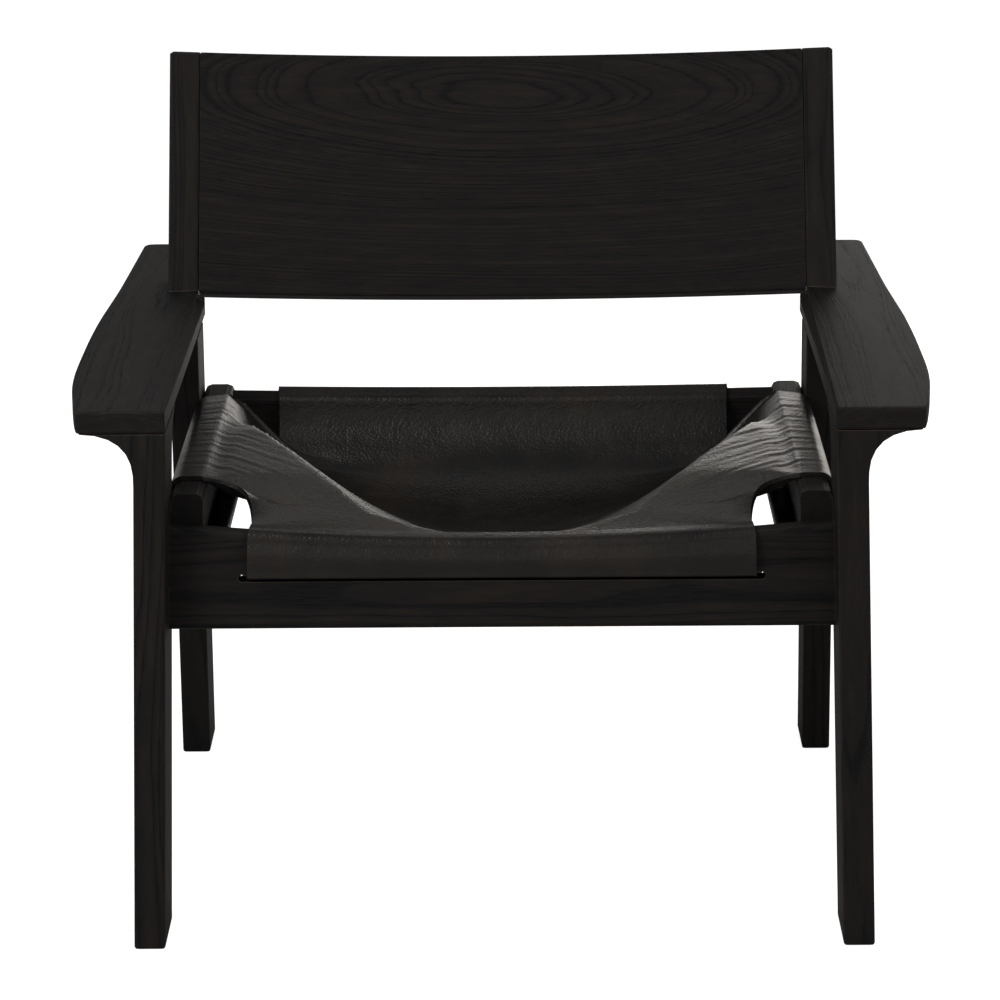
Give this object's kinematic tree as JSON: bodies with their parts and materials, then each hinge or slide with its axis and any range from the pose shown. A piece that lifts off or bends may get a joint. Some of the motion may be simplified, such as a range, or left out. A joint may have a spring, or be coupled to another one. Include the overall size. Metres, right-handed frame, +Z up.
{
  "type": "lounge chair",
  "caption": "Low lounge chair with splayed plank legs, wide level arms, a hollow reclined back and a leather hide slung over the seat rails.",
  "frame": {"origin": "middle of the chair on the floor", "axes": "+Z up, the sitter faces -Y, +X to the right when looking along +Y"},
  "size_m": [0.8006, 0.764, 0.7467],
  "materials": {
    "dark_wood": "black-stained open-grain wood, matt oiled",
    "hide": "black pull-up leather, satin",
    "joinery_wood": "bare hardwood",
    "steel": "bright drawn steel"
  },
  "bodies": {
    "root": {"front_leg_R": "dark_wood", "front_leg_L": "dark_wood", "rear_leg_R": "dark_wood", "rear_leg_L": "dark_wood", "arm_R": "dark_wood", "arm_L": "dark_wood", "back_stile_R": "dark_wood", "back_stile_L": "dark_wood", "back_panel": "dark_wood", "front_rail": "dark_wood", "rear_rail": "dark_wood", "side_rail_R": "dark_wood", "side_rail_L": "dark_wood", "leather_sling": "hide", "sling_rod_front": "steel", "sling_rod_rear": "steel", "sling_rod_side_R": "steel", "sling_rod_side_L": "steel", "side_rail_screw_1_R": "steel", "side_rail_screw_1_L": "steel", "side_rail_screw_2_R": "steel", "side_rail_screw_2_L": "steel", "side_rail_screw_3_R": "steel", "side_rail_screw_3_L": "steel", "side_rail_screw_4_R": "steel", "side_rail_screw_4_L": "steel", "back_spline_R": "joinery_wood", "back_spline_L": "joinery_wood", "front_leg_dowel_1_R": "joinery_wood", "front_leg_dowel_1_L": "joinery_wood", "front_leg_dowel_2_R": "joinery_wood", "front_leg_dowel_2_L": "joinery_wood", "rear_leg_dowel_1_R": "joinery_wood", "rear_leg_dowel_1_L": "joinery_wood", "rear_leg_dowel_2_R": "joinery_wood", "rear_leg_dowel_2_L": "joinery_wood", "stile_dowel_1_R": "joinery_wood", "stile_dowel_1_L": "joinery_wood", "stile_dowel_2_R": "joinery_wood", "stile_dowel_2_L": "joinery_wood", "front_rail_dowel_1_R": "joinery_wood", "front_rail_dowel_1_L": "joinery_wood", "front_rail_dowel_2_R": "joinery_wood", "front_rail_dowel_2_L": "joinery_wood", "rear_rail_dowel_1_R": "joinery_wood", "rear_rail_dowel_1_L": "joinery_wood", "rear_rail_dowel_2_R": "joinery_wood", "rear_rail_dowel_2_L": "joinery_wood"}
  },
  "joints": []
}
